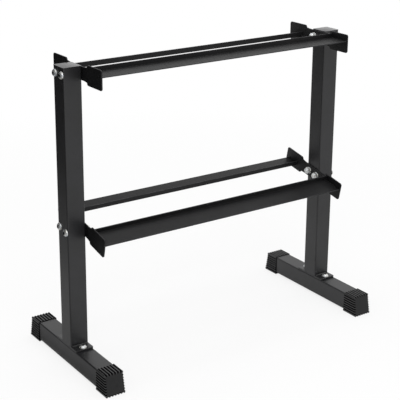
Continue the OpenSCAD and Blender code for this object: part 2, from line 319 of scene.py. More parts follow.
zincPlate = makeZincPlate({
    "cool": toLinear("#d9dde2"), "warm": toLinear("#e0ded6"), "dull": toLinear("#a3a5a8"),
    "recess": toLinear("#2e2f31"), "roughness": 0.45, "recessRough": 0.25, "tintMm": 7,
    "markMm": 0.9, "markDepth": 0.006})


def makeNylon(look):
    # the locking ring of a nut: milky nylon, slightly mottled
    material, tree, shader, place = newMaterial("milkyNylon", {
        "Metallic": 0.0, "IOR": 1.53, "Specular IOR Level": 0.45})
    milk = addNode(tree, "ShaderNodeTexNoise", {
        "Vector": place, "Scale": perMm(look["milkMm"]), "Detail": 3.0, "Roughness": 0.5})
    colour = blend(tree, milk, 0.35, 0.65, look["light"], look["dark"])
    rough = addNode(tree, "ShaderNodeMapRange", [
        milk, 0.3, 0.7, look["roughness"] - 0.06, look["roughness"] + 0.06])
    normal = addNode(tree, "ShaderNodeBump", {"Height": milk, "Distance": look["milkDepth"] * mm})
    wireUp(tree, shader, {"Base Color": colour, "Roughness": rough, "Normal": normal})
    return material


nylon = makeNylon({"light": toLinear("#d9dde2"), "dark": toLinear("#bfc6ce"), "roughness": 0.42,
                   "milkMm": 1.8, "milkDepth": 0.01})
print("finishes made")


# the tubes and the nuts in the feet stay as solids and take their finish

for nodeName, finish in (("left_foot_tube", charcoalCoat), ("right_foot_tube", charcoalCoat),
                         ("left_upright", charcoalCoat), ("right_upright", charcoalCoat),
                         ("foot_weld_nuts", zincPlate)):
    nodes[nodeName].data.materials.clear()
    nodes[nodeName].data.materials.append(finish)


# sheet steel and caps keep the solid's shape, with its edges rounded

def softenSolid(nodeName, look):
    bm = bmesh.new()
    bm.from_mesh(nodes[nodeName].data)
    bmesh.ops.remove_doubles(bm, verts=bm.verts, dist=1e-6)
    bmesh.ops.dissolve_limit(bm, angle_limit=math.radians(0.4), verts=bm.verts, edges=bm.edges)
    piece = newPiece(nodeName.title().replace("_", ""), bm)
    piece.data.materials.clear()
    # the second slot only tells the rounded faces from the flat ones
    for slotIndex in range(2):
        piece.data.materials.append(look["material"])
    bevel = piece.modifiers.new("edges", "BEVEL")
    bevel.width = look["edgeMm"] * mm
    bevel.segments = look["segments"]
    bevel.limit_method = "ANGLE"
    bevel.angle_limit = math.radians(40)
    bevel.harden_normals = True
    bevel.material = 1
    piece.data.shade_smooth()
    settle(piece)
    # the rounded edges are marked, so that the coat can thin there
    wear = piece.data.attributes.new("edgeWear", "FLOAT", "FACE")
    for face in piece.data.polygons:
        wear.data[face.index].value = float(face.material_index == 1)
        face.material_index = 0
    fitPiece(piece, look["material"], look["slot"], nodeName)


sheetLooks = {
    "end_plate": {"material": blackCoat, "slot": "shelf_steel", "edgeMm": 0.6, "segments": 3},
    "rail": {"material": blackCoat, "slot": "shelf_steel", "edgeMm": 0.5, "segments": 3},
    "base_plate": {"material": charcoalCoat, "slot": "frame_steel", "edgeMm": 0.5, "segments": 3},
    "post_cap": {"material": capPlastic, "slot": "cap_plastic", "edgeMm": 0.7, "segments": 4},
}

for nodeName in sorted(nodes):
    for ending, look in sheetLooks.items():
        if nodeName.endswith(ending):
            softenSolid(nodeName, look)
print("sheet steel and caps softened")


# what every node tree shares

def newTree(name, inputs):
    # a geometry tree with named inputs; returns it with the identifier of each input
    tree = bpy.data.node_groups.new(name, "GeometryNodeTree")
    tree.interface.new_socket("Geometry", in_out="OUTPUT", socket_type="NodeSocketGeometry")
    tree.interface.new_socket("Geometry", in_out="INPUT", socket_type="NodeSocketGeometry")
    names = {}
    for label, kind in inputs.items():
        socket = tree.interface.new_socket(label, in_out="INPUT", socket_type="NodeSocket" + kind)
        names[label] = socket.identifier
    return tree, names, addNode(tree, "NodeGroupInput", out=None).outputs


def closeTree(tree, geometry, finish):
    # every tree ends with real geometry that carries its finish
    real = addNode(tree, "GeometryNodeRealizeInstances", [geometry])
    done = addNode(tree, "GeometryNodeSetMaterial", {"Geometry": real, "Material": finish})
    addNode(tree, "NodeGroupOutput", [done], out=None)


def runTree(piece, tree, names, values):
    modifier = piece.modifiers.new("shape", "NODES")
    modifier.node_group = tree
    for label, value in values.items():
        modifier[names[label]] = value
    piece.update_tag()
    settle(piece)


# rubber boots on the feet

bootLook = {
    "endInset": 0.9,        # rounding of the end face's edge, mm
    "rimRound": 0.9,        # rounding of the rim, mm
    "rimRecess": 2.0,       # how far the mouth goes in beside the tube, mm
    "mouthHalf": 26.1,      # half width of the mouth, just clear of the tube, mm
    "cornerRadius": 3.0,    # of the section, mm
    "topHalf": 27.9,        # half width at the top, mm
    "footHalf": 28.7,       # half width at the floor, mm
    "rimY": 159.5,          # where the rim lies, mm from the foot's middle
    "endY": 203.5,          # top edge of the end face
    "lean": 10.0,           # how far the end face leans out at the floor
    "roofPitch": 8.7, "sidePitch": 7.2,
    "grooveDepth": 1.1, "endDepth": 3.0, "roofShare": 0.58, "sideShare": 0.6,
    "shoulderOut": 0.16, "shoulderIn": 0.2,     # how softly a rib turns into a groove
    "roofDull": 0.97,       # how much painted shade the grooves on top get, next to those on the sides
    "endDull": 0.5,         # how much of the grooves' painted shade the end face has
    "sample": 0.62,         # spacing of the section's points, mm
    "cornerSteps": 6, "roundSteps": 4,
    "skinSteps": (0.1, 0.25, 0.4, 0.55, 0.7, 0.85, 0.95, 0.975),    # rings from rim to end
    "notchStep": 0.985,     # from here on the grooves have the end's depth
    "notchFade": 0.25,      # how much of the notches the end's rounding takes back
    "endRings": (0.84, 0.6, 0.3),
}


def makeRibTree(look):
    # presses rounded grooves into the boot's skin, by rule from the distance across each face
    tree, names, given = newTree("bootRibs", {
        "Depth": "Float", "Roof pitch": "Float", "Side pitch": "Float", "Roof share": "Float",
        "Side share": "Float", "Roof dull": "Float", "Finish": "Material"})
    across, side, ribbed, rim = (
        addNode(tree, "GeometryNodeInputNamedAttribute", {"Name": mark})
        for mark in ("across", "sideFace", "ribbed", "rim"))
    pitch, share, dull = (
        addNode(tree, "ShaderNodeMix", {0: side, 2: onRoof, 3: onSide})
        for onRoof, onSide in ((given["Roof pitch"], given["Side pitch"]),
                               (given["Roof share"], given["Side share"]),
                               (given["Roof dull"], 1.0)))
    ribsAway = addNode(tree, "ShaderNodeMath", [across, pitch], operation="DIVIDE")
    # the sides start half a rib later than the roof
    phase = addNode(tree, "ShaderNodeMath", [side, 0.5, ribsAway], operation="MULTIPLY_ADD")
    angle = addNode(tree, "ShaderNodeMath", [phase, 2 * math.pi], operation="MULTIPLY")
    wave = addNode(tree, "ShaderNodeMath", [angle], operation="COSINE")
    # the wave is below this level over the groove's share of the pitch
    shareAngle = addNode(tree, "ShaderNodeMath", [share, math.pi], operation="MULTIPLY")
    level = addNode(tree, "ShaderNodeMath", [shareAngle], operation="COSINE")
    level = addNode(tree, "ShaderNodeMath", [-1.0, level], operation="MULTIPLY")
    ribEnds = addNode(tree, "ShaderNodeMath", [level, look["shoulderOut"]], operation="ADD")
    grooveStarts = addNode(tree, "ShaderNodeMath", [level, look["shoulderIn"]],
                           operation="SUBTRACT")
    groove = addNode(tree, "ShaderNodeMapRange", [wave, ribEnds, grooveStarts, 0.0, 1.0],
                     interpolation_type="SMOOTHSTEP")
    depth = addNode(tree, "ShaderNodeMath", [ribbed, given["Depth"]], operation="MULTIPLY")
    inward = addNode(tree, "ShaderNodeMath", [groove, depth], operation="MULTIPLY")
    inward = addNode(tree, "ShaderNodeMath", [inward, -1.0], operation="MULTIPLY")
    # the mark for the finish's painted shade: the grooves, a little less on top, and the rim and
    # end face by their own marks
    grooveShadeKept = addNode(tree, "ShaderNodeMath", [ribbed, dull], operation="MINIMUM")
    groove = addNode(tree, "ShaderNodeMath", [groove, grooveShadeKept], operation="MULTIPLY")
    groove = addNode(tree, "ShaderNodeMath", [groove, rim], operation="MAXIMUM")
    normal = addNode(tree, "GeometryNodeInputNamedAttribute", {"Name": "outward"},
                     data_type="FLOAT_VECTOR")
    shift = addNode(tree, "ShaderNodeVectorMath", {0: normal, "Scale": inward}, operation="SCALE")
    marked = addNode(tree, "GeometryNodeStoreNamedAttribute", {
        "Geometry": given["Geometry"], "Name": "groove", "Value": groove}, domain="POINT")
    pressed = addNode(tree, "GeometryNodeSetPosition", {"Geometry": marked, "Offset": shift})
    closeTree(tree, pressed, given["Finish"])
    return tree, names


def bootSection(look, height):
    # one turn round the boot: x, z, distance across the face, side flag and outward direction
    radius, top, foot, h = look["cornerRadius"], look["topHalf"], look["footHalf"], height
    roof = top - radius
    half = math.pi / 2
    right = math.atan((foot - top) / h)     # the sides lean a little, so this is their direction
    left = math.pi - right
    rightTop, leftTop = (roof, h - radius), (-roof, h - radius)
    rightFoot, leftFoot = (foot - radius, radius), (radius - foot, radius)
    points = []

    def edgePoint(centre, a):
        return centre[0] + radius * math.cos(a), centre[1] + radius * math.sin(a)

    def addFace(startCentre, endCentre, a, isSide, outward):
        # the flat between two corners, which faces the direction a
        start, end = edgePoint(startCentre, a), edgePoint(endCentre, a)
        length = math.hypot(end[0] - start[0], end[1] - start[1])
        count = max(2, round(length / look["sample"]))
        for i in range(count):
            t = i / count
            points.append((start[0] + (end[0] - start[0]) * t, start[1] + (end[1] - start[1]) * t,
                           (t - 0.5) * length, isSide, outward, True))

    def addCorner(centre, fromAngle, toAngle):
        for i in range(look["cornerSteps"]):
            a = fromAngle + (toAngle - fromAngle) * i / look["cornerSteps"]
            points.append((*edgePoint(centre, a), 0.0, 0.0, (math.cos(a), math.sin(a)), False))

    addCorner(rightFoot, -half, right)
    addFace(rightFoot, rightTop, right, 1.0, (math.cos(right), math.sin(right)))
    addCorner(rightTop, right, half)
    addFace(rightTop, leftTop, half, 0.0, (0.0, 1.0))
    addCorner(leftTop, half, left)
    addFace(leftTop, leftFoot, left, 1.0, (math.cos(left), math.sin(left)))
    addCorner(leftFoot, left, 3 * half)
    addFace(leftFoot, rightFoot, 3 * half, 0.0, (0.0, -1.0))
    return points


def makeBoot(name, nodeName, footMiddle, turn, look, ribTree):
    # a sleeve with a leaning end face, made at the front end of a foot and turned into place
    bootLow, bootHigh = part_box(nodeName)
    height = (bootHigh.z - bootLow.z) / mm
    section = bootSection(look, height)
    bm = bmesh.new()
    across, sideFace, ribbed, paintedShadeLayer = (
        bm.verts.layers.float.new(mark) for mark in ("across", "sideFace", "ribbed", "rim"))
    outward = bm.verts.layers.float_vector.new("outward")

    def endOf(z):
        return -(look["endY"] + look["lean"] * (1 - z / height))

    def ring(depthOf, inset, ribs, rimPaintedShade=0.0):
        # inset moves the ring in from the skin; depthOf gives its y for a height
        made = []
        for x, z, distance, isSide, (ox, oz), flat in section:
            px, pz = x - ox * inset, z - oz * inset
            vert = bm.verts.new((px * mm, depthOf(z, pz) * mm, pz * mm))
            vert[across] = distance * mm
            vert[sideFace] = isSide
            vert[ribbed] = float(flat) * ribs
            vert[paintedShadeLayer] = rimPaintedShade
            vert[outward] = (ox, 0.0, oz)
            made.append(vert)
        return made

    rimRound, endInset, steps = look["rimRound"], look["endInset"], look["roundSteps"]
    rim, wall = -look["rimY"], look["topHalf"] - look["mouthHalf"]
    # the rim, from its inner edge out
    # the rim's rings are marked for the full painted shade of a groove
    rings = [ring(lambda z, pz: rim - look["rimRecess"], wall, 0.0, 1.0),
             ring(lambda z, pz: rim, wall, 0.0, 1.0)]
    for i in range(steps + 1):
        a = i / steps * math.pi / 2
        rings.append(ring(lambda z, pz, a=a: rim - rimRound * (1 - math.sin(math.pi / 2 - a)),
                          rimRound * (1 - math.sin(a)), 1.0, 1.0 if i < 3 else 0.0))
    # the ribbed skin, whose grooves deepen where the end wall is solid
    deeper = look["endDepth"] / look["grooveDepth"]
    for t in (*look["skinSteps"], look["notchStep"]):
        rings.append(ring(lambda z, pz, t=t: rim + (endOf(z) + endInset - rim) * t, 0.0,
                          deeper if t == look["notchStep"] else 1.0))
    # round over to the end face, whose outline the grooves still cut
    for i in range(steps + 1):
        a = i / steps * math.pi / 2
        rings.append(ring(lambda z, pz, a=a: endOf(pz) + endInset * (1 - math.sin(a)),
                          endInset * (1 - math.cos(a)), deeper - look["notchFade"] * i / steps))
    # the end face starts inside the notches and closes in smaller rings round its middle
    outline, middleZ = rings[-1], height / 2 * mm
    for share in look["endRings"]:
        made = []
        for vert in outline:
            pz = middleZ + (vert.co.z - middleZ) * share
            vert = bm.verts.new((vert.co.x * share, endOf(pz / mm) * mm, pz))
            # the end face is marked for part of the grooves' painted shade
            vert[paintedShadeLayer] = look["endDull"]
            made.append(vert)
        rings.append(made)
    count = len(section)
    for first, second in zip(rings, rings[1:]):
        for i in range(count):
            j = (i + 1) % count
            bm.faces.new((first[i], first[j], second[j], second[i]))
    bm.faces.new(rings[-1])
    bm.faces.new(list(reversed(rings[0])))
    bmesh.ops.recalc_face_normals(bm, faces=bm.faces)
    piece = newPiece(name, bm)
    tree, names = ribTree
    runTree(piece, tree, names, {
        "Depth": look["grooveDepth"] * mm, "Roof pitch": look["roofPitch"] * mm,
        "Side pitch": look["sidePitch"] * mm, "Roof share": look["roofShare"],
        "Side share": look["sideShare"], "Roof dull": look["roofDull"], "Finish": bootRubber})
    place = Matrix.Translation((footMiddle.x, footMiddle.y, bootLow.z))
    piece.data.transform(place @ Matrix.Rotation(turn, 4, "Z"))
    smoothPiece(piece, 50)
    fitPiece(piece, bootRubber, "boot_rubber", nodeName)


ribTree = makeRibTree(bootLook)
for sideName in ("left", "right"):
    footMiddle = middle(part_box(sideName + "_foot_tube"))
    for endName, turn in (("front", 0.0), ("rear", math.pi)):
        makeBoot(sideName.title() + endName.title() + "Boot", f"{sideName}_{endName}_foot_boot",
                 footMiddle, turn, bootLook, ribTree)
print("boots made")


# fastener shapes, made standing on z = 0

def latheRings(bm, profile, steps=48):
    # profile holds (radius, height) or (function of the angle, height)
    rings = []
    for radius, height in profile:
        made = []
        for i in range(steps):
            a = 2 * math.pi * i / steps
            r = radius(a) if callable(radius) else radius
            made.append(bm.verts.new((r * mm * math.cos(a), r * mm * math.sin(a), height * mm)))
        rings.append(made)
    for first, second in zip(rings, rings[1:]):
        for i in range(steps):
            j = (i + 1) % steps
            bm.faces.new((first[i], first[j], second[j], second[i]))
    return rings


def hexagon(acrossFlats, angle):
    # distance from the middle to a hexagon's outline
    return acrossFlats / 2 / math.cos((angle + math.pi / 6) % (math.pi / 3) - math.pi / 6)


def closeSeams(bm):
    # joins the first and last ring of a closed profile and points all faces out
    bmesh.ops.remove_doubles(bm, verts=bm.verts, dist=1e-7)
    bmesh.ops.recalc_face_normals(bm, faces=bm.faces)


screwLook = {"headRadius": 9.0, "headHeight": 5.5, "sideHeight": 1.4, "domeSteps": 9,
             "socketFlats": 6.0, "socketDepth": 3.6, "sinkRadius": 4.5, "shankRadius": 5.0,
             "tipChamfer": 1.0, "threadPitch": 1.5, "threadDepth": 0.5}


def makeScrewShape(name, shank, look):
    # button head with a countersunk hexagon socket, plain shank and chamfered tip
    radius, height, side = look["headRadius"], look["headHeight"], look["sideHeight"]
    crown = (radius ** 2 + (height - side) ** 2) / (2 * (height - side))
    lip, floor = look["sinkRadius"], height - look["socketDepth"]
    tip = look["shankRadius"] - look["tipChamfer"]

    def socket(angle):
        return hexagon(look["socketFlats"], angle)

    def dome(r):
        # height of the head's round top at this distance from its middle
        return math.sqrt(crown ** 2 - r ** 2) - crown + height

    profile = [(tip * 0.35, -shank), (tip, -shank),
               (look["shankRadius"], -shank + look["tipChamfer"]), (look["shankRadius"], -0.25),
               (look["shankRadius"] + 0.3, 0.0), (radius - 0.5, 0.0), (radius - 0.12, 0.1),
               (radius, 0.35), (radius, side)]
    for i in range(1, look["domeSteps"]):
        r = radius * math.cos(i / look["domeSteps"] * math.acos(lip / radius))
        profile.append((r, dome(r)))
    profile.append((lip + 0.12, dome(lip + 0.12)))
    sink = [(lip - 0.1, dome(lip) - 0.12), (lambda a: socket(a) * 1.04, dome(lip) - 0.9),
            (socket, dome(lip) - 1.1), (socket, floor), (1.0, floor - 0.35)]
    bm = bmesh.new()
    recess = bm.verts.layers.float.new("recess")
    # the socket and countersink are marked to be painted dark, as dirt and as painted shade
    rings = latheRings(bm, profile + sink)
    for ring in rings[-len(sink):]:
        for vert in ring:
            vert[recess] = 1.0
    bm.faces.new(rings[-1])
    bm.faces.new(list(reversed(rings[0])))
    bmesh.ops.recalc_face_normals(bm, faces=bm.faces)
    return smoothPiece(newPiece(name, bm), 38)


def makeThreadTree():
    # a helix swept with a vee, which stands for the visible end of a screw's thread
    tree, names, given = newTree("screwThread", {
        "Radius": "Float", "Depth": "Float", "Pitch": "Float", "Turns": "Float",
        "Finish": "Material"})
    rise = addNode(tree, "ShaderNodeMath", [given["Pitch"], given["Turns"]], operation="MULTIPLY")
    helix = addNode(tree, "GeometryNodeCurveSpiral", {
        "Resolution": 40, "Rotations": given["Turns"], "Start Radius": given["Radius"],
        "End Radius": given["Radius"], "Height": rise})
    vee = addNode(tree, "GeometryNodeCurvePrimitiveCircle", {
        "Resolution": 4, "Radius": given["Depth"]})
    swept = addNode(tree, "GeometryNodeCurveToMesh", {"Curve": helix, "Profile Curve": vee})
    closeTree(tree, swept, given["Finish"])
    return tree, names


threadTree, threadNames = makeThreadTree()


def makeThreadShape(name, start, length, look):
    piece = newPiece(name, bmesh.new())
    runTree(piece, threadTree, threadNames, {
        "Radius": (look["shankRadius"] - look["threadDepth"] * 0.35) * mm,
        "Depth": look["threadDepth"] * mm, "Pitch": look["threadPitch"] * mm,
        "Turns": length / look["threadPitch"], "Finish": zincPlate})
    piece.data.transform(Matrix.Translation((0, 0, start * mm)))
    return smoothPiece(piece, 30)


washerLook = {"innerRadius": 5.2, "outerRadius": 10.0, "thickness": 2.0, "edge": 0.35}


def makeWasherShape(look):
    # a stamped washer: rolled upper edge and a slightly sharper lower one
    inner, outer = look["innerRadius"], look["outerRadius"]
    high, edge = look["thickness"], look["edge"]
    bm = bmesh.new()
    latheRings(bm, [
        (inner, edge / 2), (inner, high - edge), (inner + edge, high),
        (outer - edge * 1.6, high), (outer - edge * 0.5, high - edge * 0.3),
        (outer, high - edge * 1.4), (outer, edge / 2), (outer - edge / 2, 0.0),
        (inner + edge / 2, 0.0), (inner, edge / 2)], 56)
    closeSeams(bm)
    return smoothPiece(newPiece("washerShape", bm), 35)


nutLook = {"flats": 17.0, "bodyHeight": 7.5, "height": 10.0, "boreRadius": 5.05,
           "collarRadius": 7.9, "ringInner": 5.12, "ringOuter": 6.6, "chamferDegrees": 30,
           "chamferLevels": (0.0, 0.12, 0.25, 0.4, 0.6, 0.85, 1.15)}


def makeNutShape(look):
    # a hexagon chamfered to a circle at both ends, with a rolled collar for the nylon ring
    flats, body, high = look["flats"], look["bodyHeight"], look["height"]
    bore, collar, ringOuter = look["boreRadius"], look["collarRadius"], look["ringOuter"]
    slope = math.tan(math.radians(look["chamferDegrees"]))

    def trimmed(z):
        # the hexagon cut by the chamfer's cone at this height
        reach = min(z, body - z)
        return lambda a: min(hexagon(flats, a), flats / 2 * 0.97 + reach / slope)

    levels = [*look["chamferLevels"], *sorted(body - level for level in look["chamferLevels"])]
    bm = bmesh.new()
    latheRings(bm, [
        (bore, 0.6), (bore + 0.6, 0.0), *((trimmed(z), z) for z in levels),
        (collar + 0.25, body + 0.05), (collar, body + 0.35), (collar, high - 0.7),
        (collar - 0.2, high - 0.25), (collar - 0.6, high), (ringOuter, high - 0.1),
        (ringOuter, high - 0.5), (bore, high - 0.5), (bore, 0.6)], 72)
    closeSeams(bm)
    return smoothPiece(newPiece("nutShape", bm), 28)


def makeRingShape(look):
    # the nylon ring inside the collar, a hair smaller than its seat
    high, inner, outer = look["height"], look["ringInner"], look["ringOuter"] - 0.02
    bm = bmesh.new()
    latheRings(bm, [
        (outer, high - 0.5), (outer, high - 0.25), (outer - 0.23, high - 0.12),
        (inner + 0.25, high - 0.12), (inner, high - 0.3), (inner, high - 0.5),
        (outer, high - 0.5)], 48)
    closeSeams(bm)
    return smoothPiece(newPiece("ringShape", bm), 30)


def makeShelfTree():
    # the pair of seats on each end plate: two along the plate, the same on the other side
    tree, names, given = newTree("shelfFasteners", {
        "Shape": "Object", "Spacing": "Float", "Reach": "Float", "Turn": "Float",
        "Height": "Float", "Tilt": "Float", "Finish": "Material"})
    halfBack = addNode(tree, "ShaderNodeMath", [given["Spacing"], -0.5], operation="MULTIPLY")
    start = addNode(tree, "ShaderNodeCombineXYZ", {1: halfBack})
    step = addNode(tree, "ShaderNodeCombineXYZ", {1: given["Spacing"]})
    row = addNode(tree, "GeometryNodeMeshLine", {
        "Count": 2, "Start Location": start, "Offset": step})
    shape = addNode(tree, "GeometryNodeObjectInfo", {"Object": given["Shape"]}, out="Geometry")
    joined = addNode(tree, "GeometryNodeJoinGeometry", out=None)
    for side in (-1.0, 1.0):
        turn = addNode(tree, "ShaderNodeMath", [given["Turn"], side], operation="MULTIPLY")
        turn = addNode(tree, "ShaderNodeCombineXYZ", {1: turn})
        turn = addNode(tree, "FunctionNodeEulerToRotation", [turn])
        seated = addNode(tree, "GeometryNodeInstanceOnPoints", {
            "Points": row, "Instance": shape, "Rotation": turn})
        away = addNode(tree, "ShaderNodeMath", [given["Reach"], side], operation="MULTIPLY")
        away = addNode(tree, "ShaderNodeCombineXYZ", {0: away})
        moved = addNode(tree, "GeometryNodeTransform", {"Geometry": seated, "Translation": away})
        tree.links.new(moved, joined.inputs[0])
    rise = addNode(tree, "ShaderNodeCombineXYZ", {2: given["Height"]})
    tilt = addNode(tree, "ShaderNodeCombineXYZ", {0: given["Tilt"]})
    tilt = addNode(tree, "FunctionNodeEulerToRotation", [tilt])
    placed = addNode(tree, "GeometryNodeTransform", {
        "Geometry": joined.outputs[0], "Translation": rise, "Rotation": tilt})
    closeTree(tree, placed, given["Finish"])
    return tree, names


def makeBaseTree():
    # one seat on each tab of the two base plates, each screw turned another way
    tree, names, given = newTree("baseFasteners", {
        "Shape": "Object", "Span": "Float", "Spacing": "Float", "Height": "Float",
        "Finish": "Material"})
    grid = addNode(tree, "GeometryNodeMeshGrid", {
        "Size X": given["Span"], "Size Y": given["Spacing"], "Vertices X": 2, "Vertices Y": 2})
    shape = addNode(tree, "GeometryNodeObjectInfo", {"Object": given["Shape"]}, out="Geometry")
    turn = addNode(tree, "FunctionNodeRandomValue", {2: 0.0, 3: math.pi, "Seed": 4}, out=1,
                   data_type="FLOAT")
    turn = addNode(tree, "ShaderNodeCombineXYZ", {2: turn})
    turn = addNode(tree, "FunctionNodeEulerToRotation", [turn])
    seated = addNode(tree, "GeometryNodeInstanceOnPoints", {
        "Points": grid, "Instance": shape, "Rotation": turn})
    rise = addNode(tree, "ShaderNodeCombineXYZ", {2: given["Height"]})
    placed = addNode(tree, "GeometryNodeTransform", {"Geometry": seated, "Translation": rise})
    closeTree(tree, placed, given["Finish"])
    return tree, names


# where the fasteners sit comes from the solids of their washers
shelfTree, shelfNames = makeShelfTree()
baseTree, baseNames = makeBaseTree()
shelfSeats = {}
for level in ("upper", "lower"):
    heads = solids(level + "_head_washers")
    inner = solids(level + "_nut_washers")
    front, rear = middle(heads[0]), middle(heads[1])
    step = rear - front
    shelfSeats[level] = {
        "spacing": step.length, "tilt": math.atan2(step.z, step.y),
        "height": (front.z + rear.z) / 2, "outer": -heads[0][1].x, "inner": -inner[0][0].x}


def shankOf(nodeName, axis):
    # length of a screw's shank in mm, from its solid
    low, high = solids(nodeName)[0]
    return round((high[axis] - low[axis]) / mm - screwLook["headHeight"], 2)


outward, inward = math.pi / 2, -math.pi / 2
thickness = washerLook["thickness"] * mm
washerShape = makeWasherShape(washerLook)
nutShape = makeNutShape(nutLook)
ringShape = makeRingShape(nutLook)
shankMm = shankOf("upper_shelf_screws", 0)
shelfScrewShape = makeScrewShape("shelfScrewShape", shankMm, screwLook)
shelfThreadShape = makeThreadShape("shelfThreadShape", -shankMm + 1.2, 12.0, screwLook)
baseScrewShape = makeScrewShape("baseScrewShape", shankOf("base_screws", 2), screwLook)


def placeOnShelf(name, level, shape, reach, turn, material, slot, *replaced):
    seats = shelfSeats[level]
    piece = newPiece(name, bmesh.new())
    runTree(piece, shelfTree, shelfNames, {
        "Shape": shape, "Spacing": seats["spacing"], "Reach": reach, "Turn": turn,
        "Height": seats["height"], "Tilt": seats["tilt"], "Finish": material})
    fitPiece(piece, material, slot, *replaced)


for level in ("upper", "lower"):
    face, nutSeat = shelfSeats[level]["outer"], shelfSeats[level]["inner"]
    headSeat, nutFace = face + thickness, nutSeat - thickness
    for kind, shape, reach, turn, replaced in (
            ("HeadWashers", washerShape, face, outward, [level + "_head_washers"]),
            ("ShelfScrews", shelfScrewShape, headSeat, outward, [level + "_shelf_screws"]),
            ("ScrewThreads", shelfThreadShape, headSeat, outward, []),
            ("NutWashers", washerShape, nutSeat, inward, [level + "_nut_washers"]),
            ("LockNuts", nutShape, nutFace, inward, [level + "_lock_nuts"]),
            ("NylonRings", ringShape, nutFace, inward, [])):
        material, slot = ((nylon, "cap_plastic") if kind == "NylonRings"
                          else (zincPlate, "zinc_plate"))
        placeOnShelf(level.title() + kind, level, shape, reach, turn, material, slot, *replaced)

baseWashers = solids("base_washers")
basePlaces = {"span": middle(baseWashers[-1]).x - middle(baseWashers[0]).x,
              "spacing": middle(baseWashers[1]).y - middle(baseWashers[0]).y,
              "height": baseWashers[0][0].z}
for name, shape, height, replaced in (
        ("BaseWashers", washerShape, basePlaces["height"], "base_washers"),
        ("BaseScrews", baseScrewShape, basePlaces["height"] + thickness, "base_screws")):
    piece = newPiece(name, bmesh.new())
    runTree(piece, baseTree, baseNames, {
        "Shape": shape, "Span": basePlaces["span"], "Spacing": basePlaces["spacing"],
        "Height": height, "Finish": zincPlate})
    fitPiece(piece, zincPlate, "zinc_plate", replaced)
# the patterns have served and don't belong to the rack
for pattern in (washerShape, nutShape, ringShape, shelfScrewShape, shelfThreadShape,
                baseScrewShape):
    bpy.data.objects.remove(pattern)
print("fasteners seated")


# weld beads

beadLook = {
    "BaseWeldBeads": {"node": "base_welds", "radius": 3.4, "step": 1.9, "seed": 3,
                      "slot": "frame_steel"},
    "UpperRailWeldBeads": {"node": "upper_rail_welds", "radius": 2.9, "step": 1.7, "seed": 7,
                           "slot": "shelf_steel"},
    "LowerRailWeldBeads": {"node": "lower_rail_welds", "radius": 2.9, "step": 1.7, "seed": 11,
                           "slot": "shelf_steel"},
}
ripple = {"smallest": 0.86, "largest": 1.04, "length": 0.95, "endGap": 1.5 * mm}


def makeBeadTree(look):
    # overlapping ripples along each path, with a little unevenness in size
    tree, names, given = newTree("weldBead", {
        "Radius": "Float", "Step": "Float", "Seed": "Int", "Finish": "Material"})
    path = addNode(tree, "GeometryNodeMeshToCurve", [given["Geometry"]])
    along = addNode(tree, "GeometryNodeCurveToPoints", {"Curve": path, "Length": given["Step"]},
                    out=None, mode="LENGTH")
    lobe = addNode(tree, "GeometryNodeMeshUVSphere", {"Segments": 16, "Rings": 8, "Radius": 1.0})
    size = addNode(tree, "FunctionNodeRandomValue", {
        2: look["smallest"], 3: look["largest"], "Seed": given["Seed"]}, out=1, data_type="FLOAT")
    wide = addNode(tree, "ShaderNodeMath", [given["Radius"], size], operation="MULTIPLY")
    thick = addNode(tree, "ShaderNodeMath", [given["Step"], look["length"]], operation="MULTIPLY")
    lobeSize = addNode(tree, "ShaderNodeCombineXYZ", [wide, wide, thick])
    lobes = addNode(tree, "GeometryNodeInstanceOnPoints", {
        "Points": along.outputs["Points"], "Instance": lobe,
        "Rotation": along.outputs["Rotation"], "Scale": lobeSize})
    closeTree(tree, lobes, given["Finish"])
    return tree, names


def beadPaths(nodeName, endGap):
    # the line of each bead: the inner corner of its solid, a little short of both ends
    lines = []
    for low, high in solids(nodeName):
        centre, size = (low + high) / 2, high - low
        if nodeName == "base_welds":
            y = high.y if centre.y < 0 else low.y
            lines.append((Vector((low.x + endGap, y, low.z)), Vector((high.x - endGap, y, low.z))))
        else:
            x = low.x if centre.x < 0 else high.x
            tilt = shelfSeats["lower"]["tilt"] if nodeName.startswith("lower") else 0.0
            alongPlate = Vector((0, math.cos(tilt), math.sin(tilt)))
            upPlate = Vector((0, -math.sin(tilt), math.cos(tilt)))
            leg = size.x
            length = (size.z - leg * math.cos(tilt)) / math.sin(tilt) if tilt else size.y
            edgeMiddle = Vector((x, centre.y, centre.z)) + upPlate * leg / 2
            reach = alongPlate * (length / 2 - endGap)
            lines.append((edgeMiddle - reach, edgeMiddle + reach))
    return lines


beadTree, beadNames = makeBeadTree(ripple)
for name, look in beadLook.items():
    bm = bmesh.new()
    for start, end in beadPaths(look["node"], ripple["endGap"]):
        bm.edges.new((bm.verts.new(start), bm.verts.new(end)))
    piece = newPiece(name, bm)
    runTree(piece, beadTree, beadNames, {"Radius": look["radius"] * mm, "Step": look["step"] * mm,
                                         "Seed": look["seed"], "Finish": weldCoat})
    smoothPiece(piece, 60)
    fitPiece(piece, weldCoat, look["slot"], look["node"])
print("welds laid")


# studio

studio = {"floorHalf": 9.0, "floor": toLinear("#f4f4f4"), "fadeFrom": 0.9, "fadeTo": 2.4,
          "nearWhite": 0.8, "nearGloss": 0.2, "worldFill": 0.62,
          "keyPower": 62.0, "keySize": 2.6, "keyPlace": (-1.2, -2.6, 3.4),
          "topPower": 34.0, "topSize": 2.4, "topPlace": (0.3, 0.4, 3.2), "aim": (0.0, 0.0, 0.4)}


def backgroundRays(tree):
    # the rays that see the plain white background: those of the eye, and those of gloss
    rays = addNode(tree, "ShaderNodeLightPath", out=None).outputs
    mirrored = addNode(tree, "ShaderNodeMath", [
        rays["Is Glossy Ray"], rays["Is Transmission Ray"]], operation="MAXIMUM")
    return rays["Is Camera Ray"], mirrored


